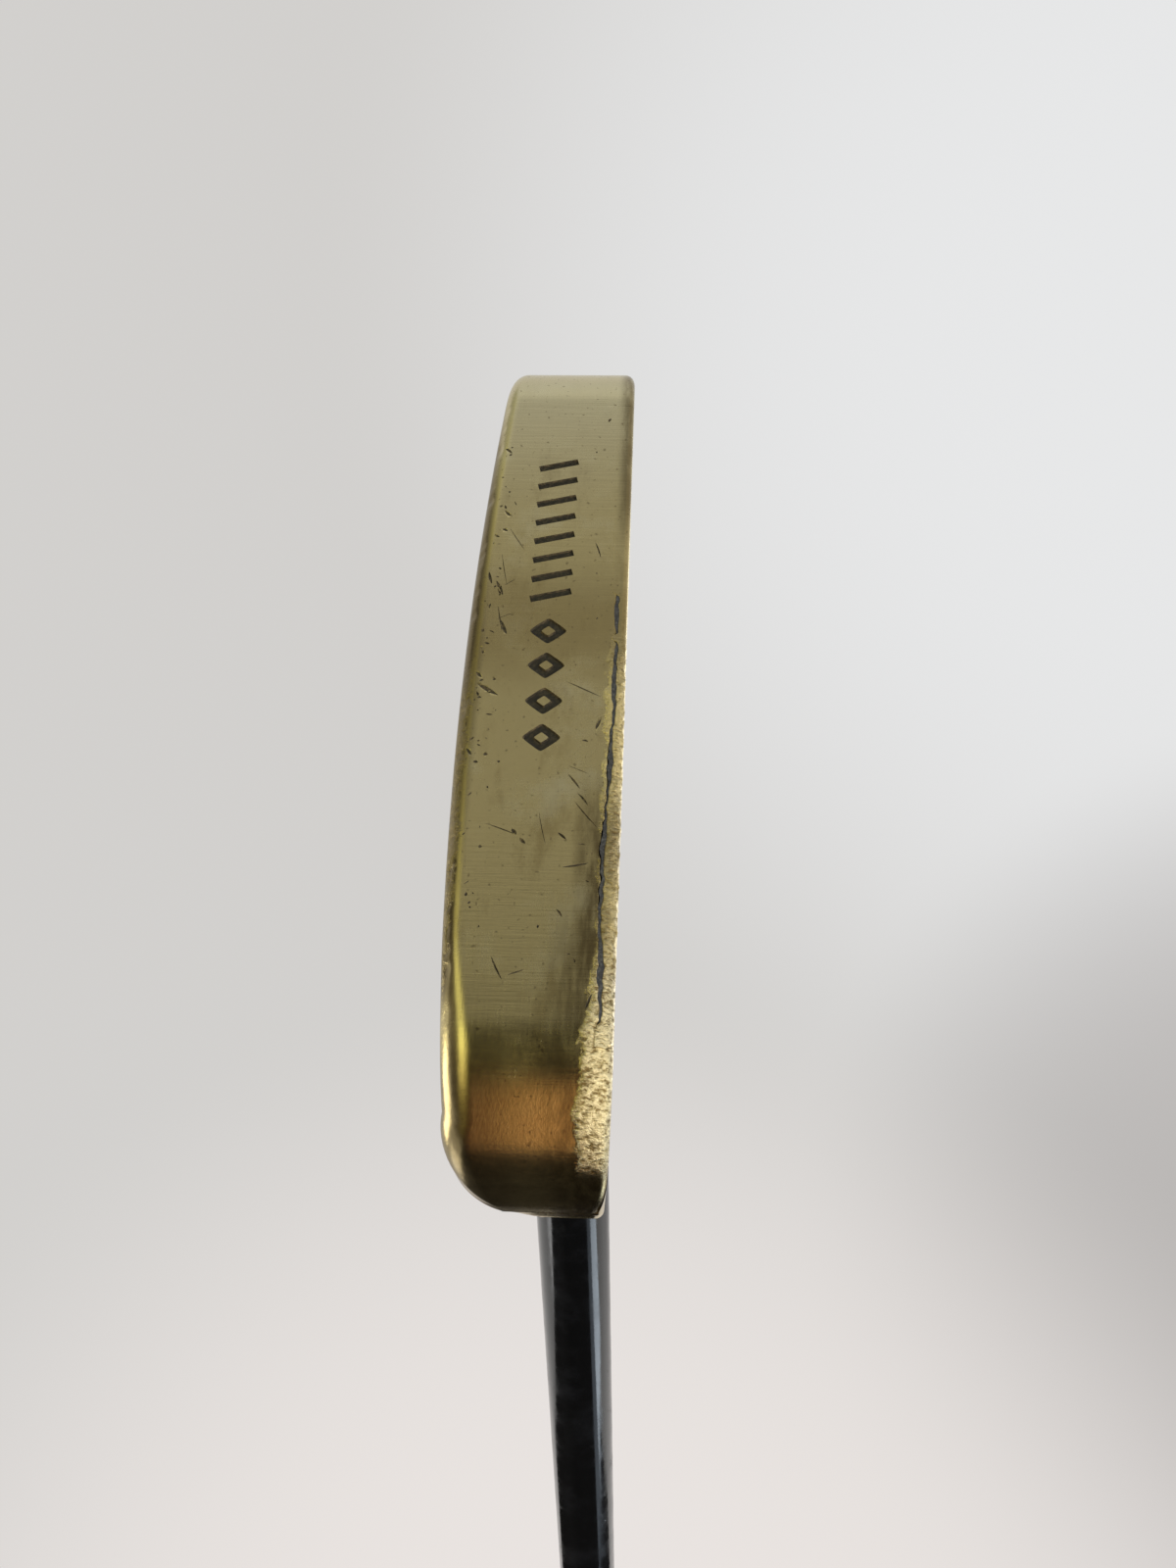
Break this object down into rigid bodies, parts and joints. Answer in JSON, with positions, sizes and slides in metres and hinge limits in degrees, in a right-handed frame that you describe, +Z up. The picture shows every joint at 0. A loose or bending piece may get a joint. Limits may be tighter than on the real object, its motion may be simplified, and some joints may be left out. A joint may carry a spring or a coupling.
{
  "type": "blade putter",
  "caption": "Right-handed heel-shafted blade putter: solid brass head with flat sole and cavity back, black stepped steel shaft and flat-front rubber grip.",
  "frame": {"origin": "on the flat sole, at the middle of the head's length and of the sole's depth", "axes": "-Y is the way the face looks, +X towards the heel and the player, +Z up with the head soled at address; the shaft leans towards +X"},
  "size_m": [0.4099, 0.0274, 0.8391],
  "materials": {
    "brass": "satin, brushed and worn",
    "brass_plate": "fine milled",
    "bond": "dull dark grey",
    "mark_fill": "matt dark paint",
    "sight_paint": "matt white paint",
    "shaft_black": "gloss black on steel",
    "epoxy": "cured adhesive",
    "tape": "paper-backed tape",
    "grip_rubber": "matt textured",
    "cap_rubber": "satin moulded"
  },
  "bodies": {
    "root": {"putter_head": "brass", "face_insert": "brass_plate", "insert_bond": "bond", "sole_mark_fill": "mark_fill", "sight_line_fill": "sight_paint", "shaft": "shaft_black", "shaft_epoxy": "epoxy", "grip_tape": "tape", "grip": "grip_rubber", "grip_cap": "cap_rubber"}
  },
  "joints": []
}
